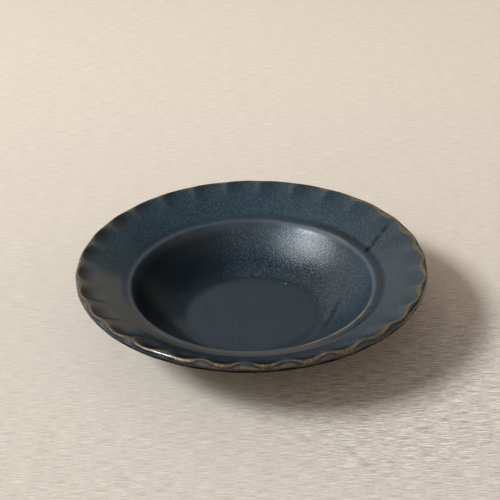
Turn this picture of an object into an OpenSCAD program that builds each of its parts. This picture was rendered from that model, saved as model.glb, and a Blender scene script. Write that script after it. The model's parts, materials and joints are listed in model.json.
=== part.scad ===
// Pasta bowl in glazed stoneware, with a flat floor, a curved well, a bead at the shoulder
// and a wide sloping flange whose lip is pressed into a ring of shallow flutes.
// Sizes are of the finished, glazed surfaces. The axis of the bowl is Z and it stands on z = 0.

/* [Bowl] */
// Diameter across the lip
rim_d = 230; // [220:1:260]
// Height of the lip before the flutes are pressed into it
bowl_h = 50; // [45:0.5:65]
// Diameter of the flat floor
floor_d = 88; // [70:1:100]
// Diameter of the bead round the shoulder of the well, at its crest
well_d = 163; // [150:1:170]
// Thickness of the floor and of the wall of the well
wall_t = 5; // [4:0.1:7]
// Radius of the curve between the floor and the wall
corner_r = 24; // [12:1:28]

/* [Flange and shoulder] */
// Slope of the flange above the horizontal, in degrees
flange_slope = 27; // [20:0.5:32]
// Thickness of the flange, which ends in a full round lip
flange_t = 6.5; // [5:0.1:8]
// Radius of the bead at the shoulder
bead_r = 2.8; // [1.5:0.1:3]
// Height of the bead's crest over the line of the flange
bead_rise = 1.3; // [0.6:0.1:2]
// Radius of the hollow between the bead and the flange
groove_r = 8; // [5:0.5:12]
// Radius under the shoulder, between the wall and the flange
under_fillet_r = 10; // [6:0.5:14]

/* [Flutes] */
// Number of flutes round the lip
flute_count = 28; // [20:1:36]
// Radius of the round-nosed former that presses each flute
flute_r = 52; // [40:1:60]
// Depth of a flute at its deepest, below the line of the flange
flute_depth = 2.4; // [2:0.1:3.4]
// Distance of the deepest place of a flute from the edge of the lip
flute_inset = 6; // [3:0.5:9]

/* [Foot ring] */
// Outside diameter of the foot ring where it stands
foot_d = 92; // [70:1:104]
// Clear height under the floor
foot_h = 5.5; // [4.5:0.1:9]
// Width of the face that the bowl stands on
foot_w = 5; // [4:0.1:8]
// Taper of the ring's flanks, in degrees
foot_taper = 8; // [0:1:15]
// Chamfer along the edges of the standing face
foot_chamfer = 0.8; // [0.4:0.1:1.2]

/* [Glaze] */
// Thickness of the fired coats
glaze_t = 0.4; // [0.3:0.05:0.6]

/* [Hidden] */
$fn = 144;

// Flange: a slab along a sloping line, with the middle of the lip's round as its own origin
lip_r = flange_t / 2;
lip = [rim_d / 2 - lip_r, bowl_h - lip_r];
along = [cos(flange_slope), sin(flange_slope)];
up = [-sin(flange_slope), cos(flange_slope)];
function on_flange(x, y) = lip + along * x + up * y;
function angle_to(from, to) = atan2(to[1] - from[1], to[0] - from[0]);

// Points along an arc, close enough together to stay within arc_tolerance of it
arc_tolerance = 0.02;
function arc(centre, r, from, to) =
    let (steps = ceil(abs(to - from) / (2 * acos(1 - arc_tolerance / r))))
    [for (i = [0 : steps]) let (a = from + (to - from) * i / steps) centre + r * [cos(a), sin(a)]];
function reversed(points) = [for (i = [len(points) - 1 : -1 : 0]) points[i]];

// Bead: its middle lies below the flange line by what its crest doesn't rise over it
bead_y = lip_r + bead_rise - bead_r;
bead_x = ((well_d / 2 - lip[0]) - up[0] * bead_y) / along[0];
bead = on_flange(bead_x, bead_y);

// Groove: a round that touches the bead and the flange line
groove_y = lip_r + groove_r;
groove_x = bead_x + sqrt(pow(bead_r + groove_r, 2) - pow(groove_y - bead_y, 2));
groove = on_flange(groove_x, groove_y);
groove_start = angle_to(groove, bead);

// Corner: an arc that leaves the floor level and ends a little steeper than the way to the bead
floor_z = foot_h + wall_t;
floor_edge = [floor_d / 2, floor_z];
corner = floor_edge + [0, corner_r];
wall_slope = 1.06 * angle_to(floor_edge, bead);
outwards = [sin(wall_slope), -cos(wall_slope)];

// Wall: a flatter arc that carries on from the corner and touches the bead
to_wall = corner + outwards * corner_r - bead;
wall_r = (to_wall * to_wall - pow(bead_r, 2)) / (2 * (bead_r + to_wall * outwards));
wall = corner + outwards * (corner_r - wall_r);
wall_start = wall_slope - 90;
wall_end = angle_to(wall, bead);

// Fillet under the shoulder: a round that touches the outside of the wall and the flange
fillet_reach = wall_r + wall_t + under_fillet_r;
fillet_y = -lip_r - under_fillet_r;
wall_y = (wall - lip) * up;
fillet_x = (wall - lip) * along + sqrt(pow(fillet_reach, 2) - pow(fillet_y - wall_y, 2));
fillet = on_flange(fillet_x, fillet_y);
fillet_end = angle_to(fillet, wall);

// Former for the flutes, and the middle of the clay that is left under them
pitch = 360 / flute_count;
former = on_flange(lip_r - flute_inset, lip_r - flute_depth + flute_r);
under_flute_y = -flute_depth / 2;

// Foot ring
foot_r = foot_d / 2;
foot_mid_r = foot_r - foot_w / 2;
foot_top = foot_h + wall_t / 2;

clay_color = "#6f5a48";
glaze_color = "#343d45";
rim_color = "#6b5233";

// Upper skin from the axis out to the lip, moved out by grow: floor, corner, wall, bead, groove, flange
function upper_skin(grow) = concat(
    [[0, floor_z + grow]],
    arc(corner, corner_r - grow, -90, wall_start),
    arc(wall, wall_r - grow, wall_start, wall_end),
    arc(bead, bead_r + grow, wall_end + 180, groove_start + 180),
    arc(groove, groove_r - grow, groove_start, flange_slope - 90),
    [on_flange(0, lip_r + grow)]
);

// Round skin of the lip, from above to below
function lip_skin(grow) = arc(lip, lip_r + grow, flange_slope + 90, flange_slope - 90);

// Lower skin from the lip in to the axis: flange, fillet, wall, corner and floor
function lower_skin(grow) = concat(
    [on_flange(0, -lip_r - grow)],
    arc(fillet, under_fillet_r - grow, flange_slope + 90, fillet_end),
    arc(wall, wall_r + wall_t + grow, fillet_end - 180, wall_start),
    arc(corner, corner_r + wall_t + grow, wall_start, -90),
    [[0, foot_h - grow]]
);

// Section of the fired clay, under the coats
module clay_outline() {
    polygon(reversed(concat(upper_skin(-glaze_t), lip_skin(-glaze_t), lower_skin(-glaze_t))));
}

// Section from the glazed upper skin down into the clay
module upper_outline() {
    polygon(reversed(concat(
        upper_skin(0),
        [on_flange(0, under_flute_y), on_flange(groove_x, under_flute_y)],
        reversed(arc(wall, wall_r + wall_t / 2, wall_start, wall_end)),
        reversed(arc(corner, corner_r + wall_t / 2, -90, wall_start)),
        [[0, floor_z - wall_t / 2]]
    )));
}

// Section of the coat under the bowl, on both sides of the foot ring
module under_coat_outline() {
    difference() {
        polygon(reversed(concat(lower_skin(0), reversed(lower_skin(-glaze_t)))));
        foot_outline();
    }
}

// Round end of the flange
module lip_outline() {
    polygon(reversed(lip_skin(0)));
}

// Section of the foot ring, carried up into the floor
module foot_outline() {
    spread = foot_top * tan(foot_taper);
    polygon([
        [foot_r - foot_w + foot_chamfer, 0],
        [foot_r - foot_chamfer, 0],
        [foot_r, foot_chamfer],
        [foot_r + spread, foot_top],
        [foot_r - foot_w - spread, foot_top],
        [foot_r - foot_w, foot_chamfer]
    ]);
}

// The round-nosed former at every flute, its nose grown by the coat it leaves room for
module flute_formers(grow) {
    for (i = [0 : flute_count - 1])
        rotate((i + 0.5) * pitch) translate([former[0], 0, former[1]]) sphere(r = flute_r + grow);
}

module fluted_clay() {
    difference() {
        rotate_extrude() clay_outline();
        flute_formers(glaze_t);
    }
}

module clay_body() {
    color(clay_color) fluted_clay();
}

module foot_ring() {
    color(clay_color) rotate_extrude() difference() {
        foot_outline();
        clay_outline();
    }
}

module inside_glaze() {
    color(glaze_color) difference() {
        rotate_extrude() upper_outline();
        flute_formers(0);
        fluted_clay();
    }
}

module outside_glaze() {
    color(glaze_color) rotate_extrude() intersection() {
        under_coat_outline();
        translate([foot_mid_r, 0]) square([rim_d, bowl_h]);
    }
}

module base_glaze() {
    color(glaze_color) rotate_extrude() intersection() {
        under_coat_outline();
        square([foot_mid_r, bowl_h]);
    }
}

module rim_glaze() {
    color(rim_color) difference() {
        rotate_extrude() lip_outline();
        flute_formers(0);
        fluted_clay();
    }
}

clay_body();
foot_ring();
inside_glaze();
outside_glaze();
base_glaze();
rim_glaze();
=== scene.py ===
# %% [markdown]
# # A fluted pasta bowl in dark stoneware glaze
# The bowl is one clay body with a foot ring luted under it, and four fired coats: inside, outside,
# under the base, and a thin iron-brown one round the lip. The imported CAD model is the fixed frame.
# Here all six pieces are modelled again, in the same places and sizes, with softer flutes, the
# unevenness of hand work, and their finishes.

# %% Load the frame
import json
from math import acos, atan2, copysign, cos, exp, hypot, pi, radians, sin, sqrt, tan
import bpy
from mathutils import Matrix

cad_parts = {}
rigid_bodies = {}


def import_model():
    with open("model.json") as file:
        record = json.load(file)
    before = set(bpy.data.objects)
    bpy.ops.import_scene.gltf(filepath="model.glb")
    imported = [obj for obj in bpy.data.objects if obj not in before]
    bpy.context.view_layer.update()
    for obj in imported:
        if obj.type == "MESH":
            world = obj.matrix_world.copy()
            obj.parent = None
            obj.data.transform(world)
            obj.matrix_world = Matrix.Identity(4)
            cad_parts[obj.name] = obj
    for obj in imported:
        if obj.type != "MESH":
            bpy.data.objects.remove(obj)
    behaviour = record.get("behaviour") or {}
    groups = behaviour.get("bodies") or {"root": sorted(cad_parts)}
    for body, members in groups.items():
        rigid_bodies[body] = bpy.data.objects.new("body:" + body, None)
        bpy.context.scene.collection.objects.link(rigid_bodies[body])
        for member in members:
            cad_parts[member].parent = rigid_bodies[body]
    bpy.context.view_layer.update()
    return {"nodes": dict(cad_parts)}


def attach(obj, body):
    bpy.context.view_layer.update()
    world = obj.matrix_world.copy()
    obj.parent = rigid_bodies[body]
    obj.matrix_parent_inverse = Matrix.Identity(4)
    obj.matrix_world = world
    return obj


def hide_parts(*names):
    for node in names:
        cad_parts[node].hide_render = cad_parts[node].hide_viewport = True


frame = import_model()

from types import SimpleNamespace

import bpy
from mathutils import Matrix, Vector

mm = 0.001
scene = bpy.context.scene
scene.view_settings.view_transform = "Standard"
print("CAD nodes:", sorted(frame["nodes"]))

# %% [markdown]
# ## The camera
# The photograph was taken from about half a metre above the table with a long lens, held a
# degree off level. The camera could be placed by eye, but its place was worked out from the three
# rings of the bowl: lip, shoulder and floor. Its axes are written down as a matrix, because a
# turn, a tilt and a roll are easier to get right that way than as three angles.

# %% Camera
turn, elevation, roll = radians(2.857), radians(31.2), radians(1.07)
distance = 934.7 * mm
aim = Vector((-1.0, 18.5, 48.5)) * mm
sensor_width, lens = 36, 100.8

level_right = Vector((1, 0, 0))
level_up = Vector((0, sin(elevation), cos(elevation)))
back = Vector((0, -cos(elevation), sin(elevation)))
right = level_right * cos(roll) - level_up * sin(roll)
up = level_right * sin(roll) + level_up * cos(roll)
eye = aim + back * distance
room_turn = Matrix.Rotation(turn, 3, "Z")

bpy.ops.object.camera_add()
camera = bpy.context.object
camera.name = "camera"
camera.data.sensor_width = sensor_width
camera.data.lens = lens
axes = Matrix((right, up, back)).transposed().to_4x4()
camera.matrix_world = room_turn.to_4x4() @ Matrix.Translation(eye) @ axes
scene.camera = camera
print("Camera at", [round(c, 3) for c in camera.matrix_world.translation])

# %% [markdown]
# ## The section of the bowl
# A bowl is round, so half a section says nearly all of its shape. It could be traced as one free
# curve, but a potter's tools leave arcs that touch each other, and arcs keep the light smooth. The
# sizes are those of the finished surfaces, as in the CAD model. First come the flange, a slab on a
# sloping line whose origin is the middle of the lip's round, and the bead and groove along it.

# %% Flange, bead and groove
rim_r, bowl_h, bead_crest_r = 115 * mm, 50 * mm, 81.5 * mm
flange_t, slope = 6.5 * mm, radians(27)
bead_r, bead_rise, groove_r = 2.8 * mm, 1.3 * mm, 8 * mm

lip_r = flange_t / 2
lip = Vector((rim_r - lip_r, bowl_h - lip_r))
along = Vector((cos(slope), sin(slope)))
across = Vector((-sin(slope), cos(slope)))


def on_flange(x, y):
    """A point of the section, by its place along and across the flange from the lip's middle."""
    return lip + along * x + across * y


def angle_to(start, end):
    """Angle of the way from one point of the section to another."""
    return atan2(end.y - start.y, end.x - start.x)


bead_y = lip_r + bead_rise - bead_r
bead_x = (bead_crest_r - lip.x - across.x * bead_y) / along.x
bead = on_flange(bead_x, bead_y)
groove_y = lip_r + groove_r
groove_x = bead_x + sqrt((bead_r + groove_r) ** 2 - (groove_y - bead_y) ** 2)
groove = on_flange(groove_x, groove_y)
groove_start = angle_to(groove, bead)
print("Middle of the bead at %.1f, %.1f mm" % (bead.x / mm, bead.y / mm))

# %% [markdown]
# The floor is flat. A tight corner turns it up, and a flatter arc carries on as the wall and
# touches the bead. The slope at which the corner ends decides how hollow the wall is, and so where
# the light gathers on it. Under the flange, a fillet joins the outside of the wall to the slab.

# %% Floor, wall and fillet
floor_r, wall_t, foot_h = 44 * mm, 5 * mm, 5.5 * mm
corner_r, fillet_r = 24 * mm, 10 * mm
corner_end = 0.93

floor_z = foot_h + wall_t
floor_edge = Vector((floor_r, floor_z))
corner = floor_edge + Vector((0, corner_r))
wall_slope = corner_end * angle_to(floor_edge, bead)
outwards = Vector((sin(wall_slope), -cos(wall_slope)))
to_wall = corner + outwards * corner_r - bead
wall_r = (to_wall.length_squared - bead_r**2) / (2 * (bead_r + to_wall @ outwards))
wall = corner + outwards * (corner_r - wall_r)
wall_start, wall_end = wall_slope - pi / 2, angle_to(wall, bead)

fillet_y = -lip_r - fillet_r
wall_to_lip = wall - lip
fillet_reach = wall_r + wall_t + fillet_r
fillet_x = wall_to_lip @ along + sqrt(fillet_reach**2 - (fillet_y - wall_to_lip @ across) ** 2)
fillet = on_flange(fillet_x, fillet_y)
fillet_end = angle_to(fillet, wall)
print("Wall radius %.1f mm" % (wall_r / mm))

# %% [markdown]
# The section is now written down as points, from the middle of the floor over the lip to the
# middle of the base. A curve object could hold the arcs, but points can be counted, so that later
# each coat knows where it ends. They lie close together where the light turns fast, as on the
# bead and the lip. The lip is a little squarer than a circle. The section breaks off where the
# foot ring meets the base, because the ring is a piece of its own.

# %% Where the foot ring meets the base
foot_r, foot_w, foot_taper, foot_chamfer = 46 * mm, 5 * mm, radians(8), 0.8 * mm
foot_lean = (foot_h - foot_chamfer) * tan(foot_taper)
foot_out_r, foot_in_r = foot_r + foot_lean, foot_r - foot_w - foot_lean
foot_out_angle = -acos((foot_out_r - floor_r) / (corner_r + wall_t))
print("Foot ring meets the base from %.1f to %.1f mm" % (foot_in_r / mm, foot_out_r / mm))

# %% Straight and round runs of points
squareness = 0.9


def spread(start, end, steps):
    """Values from start to end in even steps, without the first one."""
    return [start + (end - start) * i / steps for i in range(1, steps + 1)]


def line(start, end, steps):
    """Points along a straight run of the section, without its first one."""
    return [start.lerp(end, i / steps) for i in range(1, steps + 1)]


def arc(centre, r, start, end, steps):
    """Points along an arc of the section, without its first one."""
    return [centre + Vector((cos(a), sin(a))) * r for a in spread(start, end, steps)]


def squared(part):
    """A sine or a cosine for the lip, which is a little squarer than a circle."""
    return copysign(abs(part) ** squareness, part)


def squared_arc(r, start, end, steps):
    """Points round the lip, without the first one."""
    return [on_flange(squared(cos(a)) * r, squared(sin(a)) * r) for a in spread(start, end, steps)]


print("Lip's corner at 45 degrees is %.2f of its radius out" % (squared(cos(pi / 4)) * sqrt(2)))

# %% Points of the section
section = [Vector((0, floor_z))]
section += line(section[-1], floor_edge, steps=9)
section += arc(corner, corner_r, -pi / 2, wall_start, steps=10)
section += arc(wall, wall_r, wall_start, wall_end, steps=14)
section += arc(bead, bead_r, wall_end + pi, groove_start + pi, steps=9)
section += arc(groove, groove_r, groove_start, slope - pi / 2, steps=5)
section += line(section[-1], on_flange(0, lip_r), steps=22)
inside_end = len(section) - 1
section += squared_arc(lip_r, pi / 2, -pi / 2, steps=20)
rim_end = len(section) - 1
section += line(section[-1], on_flange(fillet_x, -lip_r), steps=14)
section += arc(fillet, fillet_r, slope + pi / 2, fillet_end, steps=8)
section += arc(wall, wall_r + wall_t, fillet_end - pi, wall_start, steps=12)
section += arc(corner, corner_r + wall_t, wall_start, foot_out_angle, steps=6)
outside_end = len(section) - 1
section += [Vector((foot_in_r, foot_h))]
base_start = len(section) - 1
section += line(section[-1], Vector((0, foot_h)), steps=6)
print(len(section), "points in the section")

# %% [markdown]
# ## One flute's width of the bowl
# The lip is pressed into 28 flutes, all alike, so one is modelled and then copied round. The
# section could be turned by a Screw modifier, but by hand it is quick: a single vertex is pulled
# along the section, and the section is spun through one flute's width about the axis of the bowl,
# with the middle of the flute on X.

# %% Draw the section and spin one flute's width of it
flute_count = 28
pitch = 2 * pi / flute_count
columns = 24


def select_only(obj):
    """Selects one object and makes it the active one."""
    bpy.ops.object.select_all(action="DESELECT")
    obj.select_set(True)
    bpy.context.view_layer.objects.active = obj


def go_to(mode):
    """Changes between object mode and edit mode."""
    bpy.ops.object.mode_set(mode=mode)


bpy.ops.object.select_all(action="DESELECT")
bpy.ops.mesh.primitive_plane_add(size=1 * mm, location=(0, 0, floor_z))
skin = bpy.context.object
skin.name = "bowl_skin"
bpy.ops.object.transform_apply(location=True)
go_to("EDIT")
bpy.ops.mesh.merge(type="CENTER")
half_flute = Matrix.Rotation(pitch / 2, 3, "Z")
for start, end in zip(section, section[1:]):
    stride = half_flute @ Vector((end.x - start.x, 0, end.y - start.y))
    bpy.ops.mesh.extrude_region_move(TRANSFORM_OT_translate={"value": stride})
bpy.ops.mesh.select_all(action="SELECT")
bpy.ops.mesh.spin(steps=columns, angle=pitch, center=(0, 0, 0), axis=(0, 0, 1))
go_to("OBJECT")
print("One flute's width has", len(skin.data.vertices), "vertices")

# %% [markdown]
# The skin becomes several coats later. Each coat could be spun on its own, but then the coats
# would not share their edges. So a material slot for each one marks which faces are whose, because
# slots survive copying and merging. A face belongs to the coat of the nearest run of the section.
# The strip under the foot ring stays bare.

# %% Mark the coats with material slots
coat_ends = {
    "inside": inside_end,
    "rim": rim_end,
    "outside": outside_end,
    "bare": base_start,
    "base": len(section) - 1,
}
for coat in coat_ends:
    skin.data.materials.append(bpy.data.materials.new(coat))
middles = [a.lerp(b, 0.5) for a, b in zip(section, section[1:])]


def in_section(co):
    """Place of a vertex or face in the section, whatever its angle about the axis."""
    return Vector((hypot(co.x, co.y), co.z))


def nearest(points, co):
    """Number of the point of the section that lies nearest to a place on the skin."""
    place = in_section(co)
    return min(range(len(points)), key=lambda i: (points[i] - place).length)


for face in skin.data.polygons:
    run = nearest(middles, face.center)
    face.material_index = next(k for k, end in enumerate(coat_ends.values()) if run < end)
slots_used = [face.material_index for face in skin.data.polygons]
print("Faces of each coat:", {name: slots_used.count(k) for k, name in enumerate(coat_ends)})

# %% [markdown]
# ## Pressing the flute
# On the real bowl a round-nosed tool presses the soft flange down at the lip, and neighbouring
# presses meet in a rounded ridge. Proportional editing could do it, but it would push the
# underside too. A vertex group says how far each vertex lies above the pressed surface, as weight
# painting would, and Displace modifiers move it by that much. A second group holds the clay that
# the press pushes outwards.

# %% Shape of the press
press_depth, press_reach = 1.6 * mm, 9.5 * mm
press_end = -3 * press_reach
ridge_share, ridge_power = 0.94, 1.1


def in_flange(co):
    """Place of a vertex along and across the flange, from the lip's middle."""
    point = in_section(co) - lip
    return point @ along, point @ across


def ridge_and_reach(co):
    """How near a vertex is to a ridge, and how far the press reaches in to it, from 0 to 1."""
    x, _ = in_flange(co)
    ridge = (0.5 - 0.5 * cos(2 * pi * atan2(co.y, co.x) / pitch)) ** ridge_power
    return ridge, exp(-((min(x, 0) / press_reach) ** 2))


def over_press(co):
    """How far a vertex of the upper skin lies above the pressed surface."""
    ridge, reach = ridge_and_reach(co)
    _, y = in_flange(co)
    return y - lip_r + press_depth * reach * (1 - ridge_share * ridge)


print("The press is %.1f mm deep and fades out in %.1f mm" % (press_depth / mm, -press_end / mm))

# %% Weights for the press and the bulge
lip_round = 1.1 * mm
pressed_share = 0.97


def press_weight(co):
    """How far a vertex is pressed, as a share of the depth, with a round edge at the lip."""
    x, y = in_flange(co)
    if y < 0 or x < press_end:
        return 0
    over = over_press(co)
    if x > 0 and abs(over) < lip_round:
        over = (over + lip_round) ** 2 / (4 * lip_round)
    return pressed_share * max(over, 0) / press_depth


def bulge_weight(co):
    """How far a vertex is pushed outwards, most in the middle of the flute."""
    ridge, reach = ridge_and_reach(co)
    return reach * (1 - ridge) if in_flange(co)[0] > press_end else 0


for name, weight in (("press", press_weight), ("bulge", bulge_weight)):
    group = skin.vertex_groups.new(name=name)
    for vertex in skin.data.vertices:
        group.add([vertex.index], weight(vertex.co), "REPLACE")
print("Vertex groups:", [group.name for group in skin.vertex_groups])

# %% [markdown]
# The glaze breaks to amber where it runs thin over edges. A pointiness node could find the edges,
# but it depends on the mesh. So one attribute keeps how far each vertex is from the edge of the
# lip, positive on top and negative on its face, and another how near it is to the crest of the
# shoulder. Both are measured before the press moves the vertices.

# %% Attributes for the edges
far, crest_reach, crest_angle = 30 * mm, 3.4 * mm, radians(108)
crest = bead + Vector((cos(crest_angle), sin(crest_angle))) * bead_r


def from_edge(co):
    """Distance of a vertex from the edge of the lip, below zero on the face and the outside."""
    x, y = in_flange(co)
    if x < -far:
        return far if nearest(section, co) <= inside_end else -far
    over = over_press(co)
    height = min(1, max(0, (y - over) / lip_r)) ** (1 / squareness)
    edge_x = lip_r * (1 - height**2) ** (squareness / 2)
    on_top = y > 0 and (over > 0 or x < 0)
    return edge_x - x if on_top else -hypot(edge_x - x, over)


def near_crest(co):
    """1 on the crest of the shoulder, 0 a few millimetres away from it."""
    return max(0, 1 - (in_section(co) - crest).length / crest_reach)


for name, measure in (("from_edge", from_edge), ("crest", near_crest)):
    values = [measure(v.co) for v in skin.data.vertices]
    attribute = skin.data.attributes.new(name, "FLOAT", "POINT")
    attribute.data.foreach_set("value", values)
    print("Attribute %s from %.3f to %.3f" % (name, min(values), max(values)))

# %% [markdown]
# Now the press itself. The flange slopes, so a move square to it has a part along Z and a part
# along X, and each part is one Displace modifier. The flute's middle lies on X, which is why X
# stands for outwards here. The clay that the tool drives out bulges along the flange.


# %% Press the flute down, and let the clay bulge outwards
def apply_modifier(obj, kind, **settings):
    """Adds a modifier with these settings and applies it."""
    select_only(obj)
    modifier = obj.modifiers.new(kind.lower(), kind)
    for name, value in settings.items():
        setattr(modifier, name, value)
    bpy.ops.object.modifier_apply(modifier=modifier.name)


def lip_height():
    """Height of the skin's highest vertex, in millimetres."""
    return max(v.co.z for v in skin.data.vertices) / mm


bulge = 0.35 * mm
moves = (
    ("press", "Z", -press_depth * cos(slope)),
    ("press", "X", press_depth * sin(slope)),
    ("bulge", "Z", bulge * sin(slope)),
    ("bulge", "X", bulge * cos(slope)),
)
for name, axis, strength in moves:
    apply_modifier(
        skin, "DISPLACE", vertex_group=name, direction=axis, strength=strength, mid_level=0
    )
print("Lip is %.2f mm high after pressing" % lip_height())

# %% [markdown]
# ## The whole skin
# The flute's width is copied round the axis. An Array modifier with a turned empty could do it,
# but Spin with duplicates needs no second object. Doubles along the copies' edges are merged, and
# the normals are turned outwards. On the outer flange the press has moved the two sides of a ridge
# apart, each along its own X, by up to about 0.02 mm. That is more than the merge distance, so
# there the sides lie close together and aren't merged.

# %% Copy the flute round the axis
merge_distance = 0.002 * mm
copies = flute_count - 1
select_only(skin)
go_to("EDIT")
bpy.ops.mesh.select_all(action="SELECT")
bpy.ops.mesh.spin(
    steps=copies, angle=copies * pitch, dupli=True, center=(0, 0, 0), axis=(0, 0, 1)
)
bpy.ops.mesh.select_all(action="SELECT")
bpy.ops.transform.rotate(value=pitch / 2, orient_axis="Z", center_override=(0, 0, 0))
bpy.ops.mesh.remove_doubles(threshold=merge_distance)
bpy.ops.mesh.normals_make_consistent(inside=False)
go_to("OBJECT")
print("Whole skin:", len(skin.data.vertices), "vertices")

# %% [markdown]
# Hand-finished clay is never quite even. Each flute could be moved on its own, but a soft noise
# over the whole skin does it in one step: it moves the surface by a few tenths of a millimetre, so
# that no two flutes catch the light alike.

# %% Unevenness of the hand
uneven_size, uneven_height = 26 * mm, 0.5 * mm
clouds = bpy.data.textures.new("unevenness", "CLOUDS")
clouds.noise_scale = uneven_size
clouds.noise_depth = 1
apply_modifier(
    skin, "DISPLACE", texture=clouds, texture_coords="LOCAL", strength=uneven_height, mid_level=0.5
)
print("After the unevenness the lip reaches %.2f mm" % lip_height())

# %% [markdown]
# ## Clay body
# The clay is the bowl as it was before glazing, and lies one coat's thickness under the skin. It
# could be drawn from a second section, but a copy of the skin, shrunk along its normals, has the
# same flutes and the same unevenness.

# %% Clay body
glaze_t = 0.4 * mm
smooth_angle = radians(60)
select_only(skin)
bpy.ops.object.duplicate()
clay = bpy.context.object
clay.name = "clay"
clay.data.materials.clear()
clay.vertex_groups.clear()
go_to("EDIT")
bpy.ops.mesh.select_all(action="SELECT")
bpy.ops.transform.shrink_fatten(value=-glaze_t)
go_to("OBJECT")
bpy.ops.object.shade_smooth_by_angle(angle=smooth_angle)
print("Clay body:", len(clay.data.polygons), "faces")

# %% [markdown]
# ## The coats
# A potter pours the inside, dips the outside and wipes the lip, so that the coats meet in lines.
# The skin is cut apart along its material slots. Solidify gives each coat its thickness, inwards,
# so that the coats meet edge to edge and close round the clay.

# %% Cut the coats apart and give them their thickness
select_only(skin)
go_to("EDIT")
bpy.ops.mesh.select_all(action="SELECT")
bpy.ops.mesh.separate(type="MATERIAL")
go_to("OBJECT")
coats = {cut.data.materials[0].name: cut for cut in bpy.context.selected_objects}
bpy.data.objects.remove(coats.pop("bare"))
for name, coat in coats.items():
    coat.name = name + "_coat"
    coat.vertex_groups.clear()
    coat.data.materials.clear()
    apply_modifier(coat, "SOLIDIFY", thickness=glaze_t, offset=-1)
    bpy.ops.object.shade_smooth_by_angle(angle=smooth_angle)
    print(coat.name, len(coat.data.polygons), "faces")

# %% [markdown]
# ## Foot ring
# The ring is a coil of clay that is luted under the base and trimmed on the wheel. It is left
# bare, because glaze would stick it to the kiln shelf. A torus could stand in for it, but a turned
# ring has flat flanks. So its section starts as a plane, is tapered, has its corners bevelled, and
# is spun once round.

# %% Section of the foot ring
foot_top = 6.1 * mm
foot_mid_r = foot_r - foot_w / 2
bpy.ops.object.select_all(action="DESELECT")
bpy.ops.mesh.primitive_plane_add(size=1)
foot = bpy.context.object
foot.name = "foot"
go_to("EDIT")
bpy.ops.transform.rotate(value=pi / 2, orient_axis="X", center_override=(0, 0, 0))
bpy.ops.transform.resize(value=(foot_w, 1, foot_top))
bpy.ops.transform.translate(value=(foot_mid_r, 0, foot_top / 2))
bpy.ops.mesh.select_all(action="DESELECT")
go_to("OBJECT")
for vertex in foot.data.vertices:
    vertex.select = vertex.co.z > foot_top / 2
go_to("EDIT")
widening = (foot_w + 2 * foot_top * tan(foot_taper)) / foot_w
bpy.ops.transform.resize(value=(widening, 1, 1), center_override=(foot_mid_r, 0, foot_top))
bpy.ops.mesh.select_all(action="SELECT")
bpy.ops.mesh.bevel(offset=foot_chamfer, segments=4, affect="VERTICES")
print("Foot ring's section is %.2f times wider at the top" % widening)

# %% Spin the foot ring
foot_steps = 224
foot_merge = 0.01 * mm
bpy.ops.mesh.select_all(action="SELECT")
bpy.ops.mesh.subdivide(number_cuts=2)
bpy.ops.mesh.delete(type="ONLY_FACE")
bpy.ops.mesh.select_all(action="SELECT")
bpy.ops.mesh.spin(steps=foot_steps, angle=2 * pi, center=(0, 0, 0), axis=(0, 0, 1))
bpy.ops.mesh.select_all(action="SELECT")
bpy.ops.mesh.remove_doubles(threshold=foot_merge)
bpy.ops.mesh.normals_make_consistent(inside=False)
go_to("OBJECT")
bpy.ops.object.shade_smooth_by_angle(angle=radians(40))
print("Foot ring:", len(foot.data.polygons), "faces")

# %% [markdown]
# ## Writing shaders as sums
# A finish is a tree of nodes, and most of its nodes are plain maths. They could be placed and
# linked one by one, but a sum is easier to read. This class wraps a socket, so that maths on it
# adds the Math nodes, and one method adds any other node.


# %% A socket that can be added and multiplied
class Wire:
    """An output socket of a node, in its tree."""

    def __init__(self, tree, socket=None):
        self.tree, self.socket = tree, socket

    def node(self, kind, settings=None, inputs=None, output=0):
        """Adds a node of a type, sets it up, then fills or links its inputs."""
        made = self.tree.nodes.new("ShaderNode" + kind)
        for name, value in (settings or {}).items():
            setattr(made, name, value)
        for name, value in (inputs or {}).items():
            if isinstance(value, Wire):
                self.tree.links.new(value.socket, made.inputs[name])
            else:
                made.inputs[name].default_value = value
        return Wire(self.tree, made.outputs[output])

    def output(self, name):
        """Another output of the same node."""
        return Wire(self.tree, self.socket.node.outputs[name])

    def math(self, operation, *values):
        """Adds a Math node."""
        return self.node("Math", {"operation": operation}, dict(enumerate(values)))

    def __add__(self, other):
        return self.math("ADD", self, other)

    def __radd__(self, other):
        return self.math("ADD", other, self)

    def __sub__(self, other):
        return self.math("SUBTRACT", self, other)

    def __rsub__(self, other):
        return self.math("SUBTRACT", other, self)

    def __mul__(self, other):
        return self.math("MULTIPLY", self, other)

    def __rmul__(self, other):
        return self.math("MULTIPLY", other, self)

    def __truediv__(self, other):
        return self.math("DIVIDE", self, other)

    def __pow__(self, other):
        return self.math("POWER", self, other)

    def __abs__(self):
        return self.math("ABSOLUTE", self)


# %% Noise, soft steps and mixed colours
def noise(place, size, detail=2, roughness=0.5):
    """Noise from 0 to 1 whose lumps are about this size, in metres."""
    settings = {"Vector": place, "Scale": 1 / size, "Detail": detail, "Roughness": roughness}
    return place.node("TexNoise", inputs=settings)


def step(value, low, high):
    """0 below low, 1 above high, and an even curve between them."""
    limits = {"Value": value, "From Min": low, "From Max": high}
    return value.node("MapRange", {"interpolation_type": "SMOOTHSTEP"}, limits)


def mix(factor, first, second, blend="MIX"):
    """The first colour where the factor is 0, and the second one where it is 1."""
    settings = {"data_type": "RGBA", "blend_type": blend}
    return factor.node("Mix", settings, {0: factor, 6: first, 7: second}, 2)


def new_finish(name):
    """A material with a plain shader, the shader, and a wire with Object coordinates."""
    material = bpy.data.materials.new(name)
    material.use_nodes = True
    shader = material.node_tree.nodes["Principled BSDF"]
    return material, shader, Wire(material.node_tree).node("TexCoord", output="Object")


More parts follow.
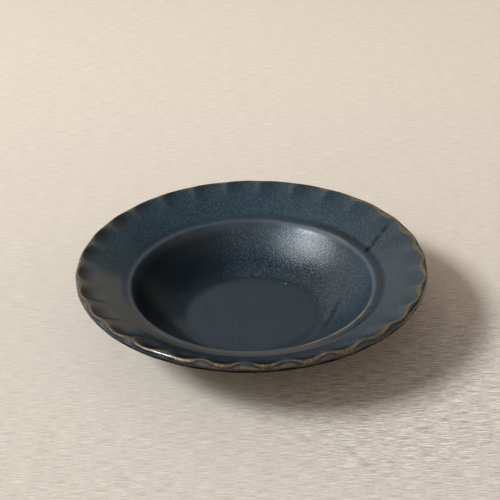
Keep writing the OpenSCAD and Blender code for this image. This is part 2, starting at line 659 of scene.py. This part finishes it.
def feed(shader, **wires):
    """Links wires to a shader's inputs, whose names have _ for a space."""
    for name, wire in wires.items():
        wire.tree.links.new(wire.socket, shader.inputs[name.replace("_", " ")])


def bumps(height):
    """A normal that is tilted by a height in metres."""
    return height.node("Bump", inputs={"Strength": 1, "Distance": 1, "Height": height})


def report(material):
    """Prints how many nodes a finish has."""
    print("Finish", material.name, "has", len(material.node_tree.nodes), "nodes")


# %% [markdown]
# ## Table
# The bowl stands on a pale, warm table top with fine threads from left to right. They could be
# modelled as strands, but they are finer than a pixel, so two noises that are drawn out along the
# table do it: long threads, and short ones that break them up. The threads show most towards the
# front, and beside the bowl at the front right.

# %% Table
table_size = 16
long_draw, short_draw = (0.035, 1, 1), (0.15, 1, 1)
painted_dim_front, painted_lit_back = (0.61, 0.543, 0.458, 1), (0.775, 0.682, 0.558, 1)
thread_dark, thread_light = (0.42, 0.39, 0.36, 1), (1.54, 1.56, 1.58, 1)
coarse_place = (0.1, -0.06, 0)

bpy.ops.object.select_all(action="DESELECT")
bpy.ops.mesh.primitive_plane_add(size=table_size)
table = bpy.context.object
table.name = "table"
table_finish, shader, place = new_finish("table")
turned = place.node("Mapping", inputs={"Vector": place, "Rotation": (0, 0, -turn)})
long_place = turned.node("Mapping", inputs={"Vector": turned, "Scale": long_draw})
short_place = turned.node("Mapping", inputs={"Vector": turned, "Scale": short_draw})
threads = 0.8 * noise(long_place, 0.42 * mm, 2, 0.7) + 0.2 * noise(short_place, 0.5 * mm, 1)
away = turned.node("SeparateXYZ", inputs={0: turned}).output(1)
# Painted light falloff: the top is painted darker at the front and lighter at the back.
tone = mix(step(away, -0.25, 0.5), painted_dim_front, painted_lit_back)
shade = mix(step(threads, 0.38, 0.62), thread_dark, thread_light)
apart = {0: turned, 1: coarse_place}
near = turned.node("VectorMath", {"operation": "DISTANCE"}, apart, "Value")
contrast = 0.34 - 0.16 * step(away, -0.17, 0.03) + 0.5 * (1 - step(near, 0.06, 0.13))
feed(shader, Base_Color=mix(contrast, tone, shade, blend="MULTIPLY"))
shader.inputs["Roughness"].default_value = 0.85
table.data.materials.append(table_finish)
report(table_finish)

# %% [markdown]
# ## Light
# One soft light, as from a window, comes from the left and a little from the front. A sun lamp
# would give the same direction, but an area lamp of a window's size gives the shadow its soft
# edge, and its reflection is the highlight on the wall of the well.

# %% Light
toward_light = room_turn @ Vector((-0.672, -0.251, 0.697)).normalized()
light_distance, light_width, light_height = 4, 1.5, 0.85
light_power, light_tint = 151, (0.94, 1, 1.07)

bpy.ops.object.light_add(type="AREA", location=toward_light * light_distance)
key = bpy.context.object
key.name = "window"
key.data.shape = "RECTANGLE"
key.data.size, key.data.size_y = light_width, light_height
key.data.energy = light_power
key.data.color = light_tint
key.rotation_mode = "QUATERNION"
key.rotation_quaternion = toward_light.to_track_quat("Z", "Y")
print("Light at", [round(c, 2) for c in key.location])

# %% [markdown]
# The rest of the room lights the shadow and is seen in the glaze. Walls with lamps could stand
# round the bowl, but a world that is brighter in some directions does the same without geometry:
# bright from the window's wall at the back left, a glow beside the window, some light from the
# front of the room and from above, and little from elsewhere.

# %% Fill
world = bpy.data.worlds.new("fill")
scene.world = world
world.use_nodes = True
background = world.node_tree.nodes["Background"]
direction = Wire(world.node_tree).node("TexCoord", output="Generated")
room_dark = 0.09
warm_wall, cool_ceiling = (1.02, 0.86, 0.72, 1), (0.92, 0.95, 0.99, 1)
cool_glow = (0.86, 0.95, 1.02, 1)


def toward(x, y, z, low, high):
    """1 in one direction of the room, 0 away from it."""
    facing = {0: direction, 1: room_turn @ Vector((x, y, z)).normalized()}
    facing = direction.node("VectorMath", {"operation": "DOT_PRODUCT"}, facing, "Value")
    return step(facing, low, high)


window_wall = toward(-0.85, 0.45, 0.3, 0.28, 0.95)
overhead = toward(0, 0.3, 0.95, 0.86, 0.97)
right_wall = toward(0.42, 0.83, 0.36, 0.9, 0.98)
glow = toward(-0.5, -0.55, 0.67, 0.8, 0.98)
room_front = toward(0.42, -0.89, 0.15, 0.2, 1)
high = toward(0, 0, 1, 0.6, 0.85)
ceiling = toward(0, 0.1, 1, 0.8, 0.97)
lit = 0.62 * window_wall * (1 - 0.4 * high) + 0.22 * overhead + 0.2 * right_wall
lit = lit + 0.6 * glow + 0.58 * room_front
tint = mix(glow, mix(ceiling, warm_wall, cool_ceiling), cool_glow)
feed(background, Strength=room_dark + lit, Color=tint)
print("World has", len(world.node_tree.nodes), "nodes")

# %% [markdown]
# ## The dark glaze
# The glaze is a satin blue-black. Where it is thick it goes to ink and teal, where it is thin to
# slate, and over edges it breaks to amber. Fine crystals speckle it, most on the wall of the well.
# An image could carry all this, but noise on Object coordinates has no seams and stays sharp.
# First come masks that tell where on the bowl a point lies. Angles about the axis are in degrees:
# 0 is the right of the bowl, 90 its back, 180 its left and -90 its front.

# %% Masks by angle, by length and by flute
flutes_per_radian = flute_count / (2 * pi)


def length(x, y):
    """Length of a flat vector."""
    return (x * x + y * y) ** 0.5


def side(at, angle, full, none):
    """1 within some degrees of an angle about the axis, 0 beyond some more."""
    toward_side = cos(radians(angle)) * at.x + sin(radians(angle)) * at.y
    return step(toward_side / at.radius, cos(radians(none)), cos(radians(full)))


def ring(value, start, end, soft):
    """1 where a length lies between two others, with soft ends."""
    return step(value, start - soft, start + soft) * (1 - step(value, end - soft, end + soft))


def on_ridge(at, shift=0):
    """1 on the ridges between the flutes, 0 in the middle of the flutes."""
    return abs(2 * at.x.math("FRACT", at.flutes + shift) - 1)


print("A flute is %.1f degrees wide" % (360 / flute_count))


# %% Places on the bowl
def glaze_places(place):
    """Where a point of the glaze lies on the bowl, and the noises it is coloured by."""
    split = place.node("SeparateXYZ", inputs={0: place})
    at = SimpleNamespace(x=split, y=split.output(1))
    at.radius = length(at.x, at.y)
    at.flutes = flutes_per_radian * at.x.math("ARCTAN2", at.y, at.x)
    at.ridge = on_ridge(at)
    at.edge = place.node("Attribute", {"attribute_name": "from_edge"}, output="Fac")
    at.below = -1 * at.edge
    at.depth = at.below + 1.5 * mm * (1 - at.ridge)
    at.crest = place.node("Attribute", {"attribute_name": "crest"}, output="Fac")
    at.clouds = noise(place, 38 * mm, 3)
    at.mottle = noise(place, 7 * mm, 4, 0.6)
    at.crystals = noise(place, 0.95 * mm, 2, 0.6)
    at.dust = noise(place, 1.2 * mm, 1)
    return at


def glaze_zones(at):
    """Adds the zones of the bowl: floor, wall, flange, face of the lip, and its sides."""
    at.inside = step(at.edge, -0.5 * mm, 0.5 * mm)
    at.floor = 1 - step(at.radius + 7 * mm * (at.clouds - 0.5), 40 * mm, 47 * mm)
    in_well = at.inside * (1 - at.floor)
    at.wall = in_well * (1 - step(at.radius, 74 * mm, 79 * mm))
    at.flange = step(at.radius, 84 * mm, 88 * mm)
    at.top = at.flange * at.inside
    at.right, at.behind = side(at, 0, 37, 78), side(at, 90, 18, 73)
    at.left = side(at, -165, 25, 60)
    at.grainy = in_well * (1 - step(at.radius, 75 * mm, 80 * mm)) * side(at, 45, 26, 90)
    at.lower = at.grainy * (1 - step(at.radius, 56 * mm, 70 * mm))
    at.face = ring(at.below, -0.3 * mm, 4.3 * mm, 0.6 * mm)


# %% [markdown]
# ### The well and the flange
# Melted glaze runs down the wall and pools, so the wall is inky and the floor and flange are slate,
# with teal, blue and ash where the coat is thicker or thinner. The wall's ink is partly painted
# shade, deeper on the side turned from the light, and the ash at the front left of the flange is
# partly a painted reflection. One colour ramp could not follow that, so each tone is laid over the
# last through its own mask, as a painter lays washes.

# %% Colour of the well and the flange
slate_dark, slate_light = (0.008, 0.018, 0.027, 1), (0.014, 0.03, 0.043, 1)
floor_slate, right_slate = (0.0155, 0.0235, 0.0355, 1), (0.022, 0.034, 0.042, 1)
wall_ink_and_shade, low_ink = (0.001, 0.004, 0.008, 1), (0.0005, 0.003, 0.005, 1)
wall_teal, wall_blue = (0.0005, 0.01, 0.018, 1), (0.006, 0.016, 0.031, 1)
back_ink, back_teal = (0.003, 0.012, 0.02, 1), (0.003, 0.0175, 0.0285, 1)
left_ash_and_reflection, front_ash = (0.09, 0.084, 0.074, 1), (0.095, 0.083, 0.066, 1)
front_ink, crystal = (0.001, 0.002, 0.005, 1), (0.04, 0.08, 0.098, 1)


def layer(colour, *washes):
    """Lays tones over a colour, each through its own mask."""
    for mask, tone in washes:
        colour = mix(mask, colour, tone)
    return colour


def field_colour(at):
    """Colour of the floor, the well and the flange."""
    thick = step(0.6 * at.clouds + 0.4 * at.mottle, 0.36, 0.64)
    low_wall = (1 - step(at.radius, 48 * mm, 62 * mm)) * side(at, -150, 50, 100)
    # Partly pooled glaze, partly painted shade: the wall is inkier where it is turned from the light
    # than at the back right, which faces it.
    ink_and_painted_shade = (0.95 * at.wall - 0.3 * at.grainy) * (1 - low_wall)
    ink = ring(at.radius, 93 * mm, 130 * mm, 3 * mm) * side(at, -92, 30, 48)
    ash = at.inside * ring(at.radius, 83 * mm, 92 * mm, 2.5 * mm) * side(at, -105, 30, 70)
    speckled = 0.1 + 0.15 * at.floor + 0.5 * at.grainy + 0.45 * at.top
    return layer(
        mix(thick, slate_dark, slate_light),
        (0.7 * at.floor, floor_slate),
        (ink_and_painted_shade, wall_ink_and_shade),
        (0.6 * at.lower, low_ink),
        (0.6 * at.wall * side(at, 140, 30, 60), wall_teal),
        (0.7 * at.wall * side(at, -20, 30, 60), wall_blue),
        # Partly ash glaze, partly a painted reflection: the flange at the front left is paler and
        # browner.
        (0.9 * at.top * side(at, -156, 17, 28), left_ash_and_reflection),
        (0.6 * at.top * at.right, right_slate),
        (0.6 * at.top * side(at, 40, 12, 30), back_ink),
        (0.7 * at.top * at.behind, back_teal),
        (0.9 * ink, front_ink),
        (0.85 * ash, front_ash),
        (step(at.crystals, 0.48, 0.56) * speckled, crystal),
    )


# %% [markdown]
# ### The lip
# Glaze pools in the flutes and wears thin on the ridges between them, so the lip goes from ink to
# ash and back 28 times. It could be painted flute by flute, but the angle about the axis, counted in
# flutes, repeats by itself. On the left the dark flutes are partly painted shade and the pale ridges
# partly painted light. Painted shade runs in slanting lines up from the lip at the front left, and
# the face of the lip is a little paler on the ridges, partly as a painted reflection.

# %% Colour of the lip
lip_ink_and_shade, painted_slant_shade = (0.003, 0.005, 0.008, 1), (0.003, 0.004, 0.006, 1)
lit_worn_ash, lit_worn_slate = (0.075, 0.068, 0.052, 1), (0.06, 0.078, 0.092, 1)
face_slate_and_reflection = (0.045, 0.06, 0.075, 1)


def lip_colour(at, colour):
    """Adds pools and thin ridges along the lip, partly painted shade and light, slanting lines of
    painted shade, and a painted reflection on the face.
    """
    at_lip = step(at.edge, -8 * mm, -5 * mm) * (1 - step(at.edge, 2 * mm, 14 * mm))
    # Partly pooled glaze, partly painted shade: the flutes are darkest at the left and the front,
    # where they tilt from the light.
    pooled_and_shaded = at_lip * (1 - step(at.ridge, 0.25, 0.9))
    pooled_and_shaded = pooled_and_shaded * (1 - 0.75 * at.right) * (1 - 0.6 * at.behind)
    # Partly thin glaze, partly painted light: the ridges are palest at the left, where they face the
    # light.
    worn_and_lit = at_lip * step(at.ridge, 0.7, 1)
    worn_and_lit = worn_and_lit * (0.35 + 0.35 * at.left + 0.18 * at.behind) * (1 - 0.5 * at.right)
    # Painted shade: slanting dark lines up from the lip at the front left.
    slant = 0.22 - 5 * at.edge
    slant_shade = step(on_ridge(at, slant), 0.74, 0.97) * ring(at.edge, 1 * mm, 12 * mm, 3 * mm)
    face = ring(at.below, 1 * mm, 7 * mm, 0.6 * mm)
    # Partly glaze, partly a painted reflection: the face of the lip is paler on the ridges.
    glossy = face * step(at.ridge + 0.5 * (at.mottle - 0.5), 0.4, 0.8)
    return layer(
        colour,
        (0.85 * pooled_and_shaded, lip_ink_and_shade),
        (worn_and_lit, mix(at.behind, lit_worn_ash, lit_worn_slate)),
        (0.8 * slant_shade * side(at, -141, 12, 24), painted_slant_shade),
        (0.2 * glossy, face_slate_and_reflection),
    )


# %% [markdown]
# Right at the edge the glaze is so thin that the iron in the clay breaks through as amber. A plain
# band would look painted on. So the band's width on the face and on the top changes round the
# bowl and with the flutes, noise frays it, and dust breaks it up. At the front a second, lower
# band runs along the face.

# %% Amber of the edge
gold_dark, gold_light = (0.07, 0.041, 0.013, 1), (0.2, 0.123, 0.04, 1)
gold_left, gold_right = (0.13, 0.1, 0.05, 1), (0.085, 0.06, 0.024, 1)


def amber_places(at):
    """1 where the lip breaks to amber. The widths on its face and its top are in millimetres."""
    hollow = 1 - step(at.ridge, 0.1, 0.8)
    on_face = 0.55 + 0.7 * side(at, -135, 20, 45) + 1.3 * side(at, -85, 20, 40) * hollow
    on_face = on_face + 1.1 * side(at, -40, 20, 40) + 0.5 * side(at, -125, 20, 40) * (1 - hollow)
    on_top = 0.65 - 0.42 * at.behind + 0.6 * at.left * step(at.ridge, 0.5, 1) + 1.1 * at.right
    on_top = on_top + 1.9 * side(at, 10, 28, 45) * step(on_ridge(at, 0.2), 0.3, 0.95)
    spread_out = at.x.math("MAXIMUM", at.below / (on_face * mm), at.edge / (on_top * mm))
    frayed = spread_out + 0.9 * (at.mottle - 0.5) + 0.8 * (at.crystals - 0.5)
    amber = 1 - step(frayed, 0.6, 1.1)
    low_band = ring(at.depth, 3.4 * mm, 4.2 * mm, 0.4 * mm) * side(at, -76, 20, 32)
    amber = amber.math("MAXIMUM", amber, 0.65 * low_band * step(at.mottle, 0.35, 0.55))
    return amber * (1 - 0.6 * step(at.dust, 0.52, 0.6))


def amber_colour(at, colour):
    """Adds the amber, paler at the left and browner at the right."""
    gold = mix(step(at.mottle, 0.35, 0.65), gold_dark, gold_light)
    gold = layer(gold, (0.7 * at.left, gold_left), (0.65 * at.right, gold_right))
    return mix(at.amber, colour, gold)


# %% [markdown]
# ### The shoulder, and a pale fleck
# The bead at the shoulder is an edge too, but a round one, so the glaze on it only pales, with a
# little gilt where it is thinnest. The crest attribute finds it. One pale fleck lies on the floor.

# %% Colour of the shoulder
bead_slate, bead_ash = (0.075, 0.092, 0.108, 1), (0.088, 0.085, 0.078, 1)
gilt_colour, fleck_white = (0.2, 0.15, 0.065, 1), (0.6, 0.6, 0.6, 1)
fleck_x, fleck_y = 21.5 * mm, 36.4 * mm


def shoulder_colour(at, colour):
    """Adds the paler bead, its gilt and the fleck on the floor."""
    near_front = side(at, -30, 60, 110)
    thin = step(at.crest + 0.5 * (at.mottle - 0.5), 0.2, 1) * (0.35 + 0.35 * near_front)
    gilt = step(at.crest, 0.6, 0.9) * (side(at, -42, 14, 28) + 0.4 * side(at, 50, 9, 16))
    fleck = 1 - step(length(at.x - fleck_x, at.y - fleck_y), 0.3 * mm, 0.8 * mm)
    return layer(
        colour,
        (thin, mix(side(at, -125, 40, 80), bead_slate, bead_ash)),
        (0.85 * gilt * step(at.mottle, 0.3, 0.5), gilt_colour),
        (0.8 * fleck * at.floor, fleck_white),
    )


# %% [markdown]
# ### Matte places and painted shade
# Some places are mixed towards a second, dark matte shader. Under the lip, on the back-left wall and
# in the flutes at the front this is painted shade, and in the groove at the right it is partly
# pooled glaze and partly painted shade. It also darkens a streak over the flange and a line down the
# wall. A darker colour alone would still shine, so these places are mixed towards the matte shader.


# %% Matte places and painted shade
def line_mark(at, angle, offset, width):
    """1 along a straight line over the bowl, whose normal has this angle, with wavering sides."""
    across_line = cos(radians(angle)) * at.x + sin(radians(angle)) * at.y - offset
    return 1 - step(abs(across_line + 4 * mm * (at.mottle - 0.5)), 0.3 * width, width)


def matte_and_painted_shade(at):
    """1 where the glaze is mixed towards the dark matte shader, mostly as painted shade."""
    # Painted shade under the lip, where the glaze would mirror the shadowed table.
    painted_shade_under_lip = step(at.depth, 4.4 * mm, 5.6 * mm) * (1 - step(at.depth, 7 * mm, 20 * mm))
    # Partly pooled glaze, partly painted shade: the groove is darkened at the right.
    groove = at.inside * ring(at.radius, 84 * mm, 87.5 * mm, 1.5 * mm) * at.right
    # A dark streak over the flange at the back right.
    dark_streak = line_mark(at, -39.6, 35.3 * mm, 2.8 * mm) * ring(at.radius, 85 * mm, 107 * mm, 2 * mm)
    dark_streak = at.inside * dark_streak * step(at.y, 20 * mm, 30 * mm) * step(at.mottle, 0.3, 0.5)
    # A dark line down the wall at the right.
    run = line_mark(at, -20, 51.3 * mm, 2.8 * mm) * ring(at.y, -22 * mm, 10 * mm, 8 * mm)
    # Painted shade on the back-left wall, which is turned from the light, and the dark line down the
    # wall.
    deep = at.wall * (0.4 * side(at, 150, 30, 50) + 0.45 * run)
    # Painted shade in the hollows of the flutes at the front.
    painted_shade_in_flutes = ring(at.edge, 2 * mm, 8 * mm, 1.5 * mm) * (1 - step(at.ridge, 0.2, 0.7))
    painted_shade_in_flutes = painted_shade_in_flutes * side(at, -90, 35, 55)
    return painted_shade_under_lip + 0.45 * groove + 0.6 * dark_streak + deep + 0.5 * painted_shade_in_flutes


# %% [markdown]
# ### Gloss and relief
# Satin glaze is smooth between its crystals and rough over them. The wall at the back right is
# grainier than the rest, and the face of the lip is glossy. Roughness and bump come from the same
# noises as the colour, because on the real glaze it is the same crystals that do all three.


# %% Gloss and relief
def glaze_roughness(at):
    """Roughness of the glaze, lower on the lip's face and higher over edges and crystals."""
    rough_front = ring(at.radius, 54 * mm, 75 * mm, 4 * mm) * side(at, -90, 40, 75)
    smooth = side(at, -90, 30, 60) * at.top
    outside = step(at.below, 8 * mm, 12 * mm)
    roughness = 0.14 + 0.12 * at.mottle + 0.1 * at.crystals + 0.1 * at.grainy - 0.13 * at.lower
    roughness = roughness + 0.14 * at.flange - 0.15 * smooth - 0.27 * at.face + 0.45 * rough_front
    return roughness + 0.3 * step(at.crest, 0.05, 0.5) + 0.25 * at.amber + 0.15 * outside


def glaze_height(at, place):
    """Height of the crystals, the dust and the waves of the glaze, in metres."""
    height = (0.03 + 0.16 * at.grainy + 0.03 * at.top) * mm * at.crystals
    height = height + 0.012 * mm * at.dust + 0.08 * mm * at.mottle
    return height + 0.15 * mm * at.face * noise(place, 3 * mm, 2)


# %% [markdown]
# Now the parts come together. The coat on the lip is a finish of its own, with its own name, but
# it has the same nodes, so that the glaze runs on over the lines where the coats meet.

# %% Glaze finishes
glaze_ior = 1.53
# A dark matte shader, mixed in for painted shade and for two dark marks.
dark_matte_shade = {"Base Color": (0.006, 0.008, 0.01, 1), "Roughness": 0.9, "Specular IOR Level": 0}


def glaze_finish(name):
    """A finish with the dark glaze."""
    material, shader, place = new_finish(name)
    at = glaze_places(place)
    glaze_zones(at)
    at.amber = amber_places(at)
    colour = shoulder_colour(at, amber_colour(at, lip_colour(at, field_colour(at))))
    normal = bumps(glaze_height(at, place))
    feed(shader, Base_Color=colour, Roughness=glaze_roughness(at), Normal=normal)
    shader.inputs["IOR"].default_value = glaze_ior
    glazed = Wire(place.tree, shader.outputs[0])
    matte = place.node("BsdfPrincipled", inputs=dark_matte_shade)
    surface = place.node("MixShader", inputs={0: matte_and_painted_shade(at), 1: glazed, 2: matte})
    feed(material.node_tree.nodes["Material Output"], Surface=surface)
    report(material)
    return material


dark = glaze_finish("dark_glaze")
lip_glaze = glaze_finish("rim_glaze")

# %% [markdown]
# ## Bare clay
# Only the foot ring shows the clay: brown stoneware with fine dark grit, a little uneven in colour
# from the kiln. One brown with a rough surface would do from afar, but noise at two sizes gives the
# patches and the grit that show close up.

# %% Bare clay
clay_dark, clay_light = (0.2, 0.135, 0.09, 1), (0.3, 0.215, 0.15, 1)
grit_dark = (0.09, 0.06, 0.045, 1)
bare, shader, place = new_finish("bare_clay")
grit = noise(place, 0.9 * mm, 3, 0.6)
patches = noise(place, 14 * mm, 3)
clay_colour = mix(step(patches, 0.35, 0.65), clay_dark, clay_light)
clay_colour = mix(0.7 * step(grit, 0.58, 0.7), clay_colour, grit_dark)
clay_normal = bumps(0.05 * mm * grit + 0.1 * mm * patches)
feed(shader, Base_Color=clay_colour, Roughness=0.7 + 0.2 * grit, Normal=clay_normal)
report(bare)

# %% [markdown]
# ## Pieces in the frame
# Each piece gets its finish, rides on the bowl's only body, stands for the CAD node of its name,
# and says which material slot of the record it takes. The CAD nodes could have kept their own
# shapes, but all six are hidden here, because the scene's flutes are softer and uneven.

# %% Ride, replace and name the slots
pieces = {
    "clay_body": (clay, "stoneware", bare),
    "foot_ring": (foot, "stoneware", bare),
    "inside_glaze": (coats["inside"], "dark_glaze", dark),
    "outside_glaze": (coats["outside"], "dark_glaze", dark),
    "base_glaze": (coats["base"], "dark_glaze", dark),
    "rim_glaze": (coats["rim"], "rim_glaze", lip_glaze),
}
for node, (piece, slot, finish) in pieces.items():
    piece.data.materials.append(finish)
    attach(piece, "root")
    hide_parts(node)
    print(piece.name, "stands for", node)
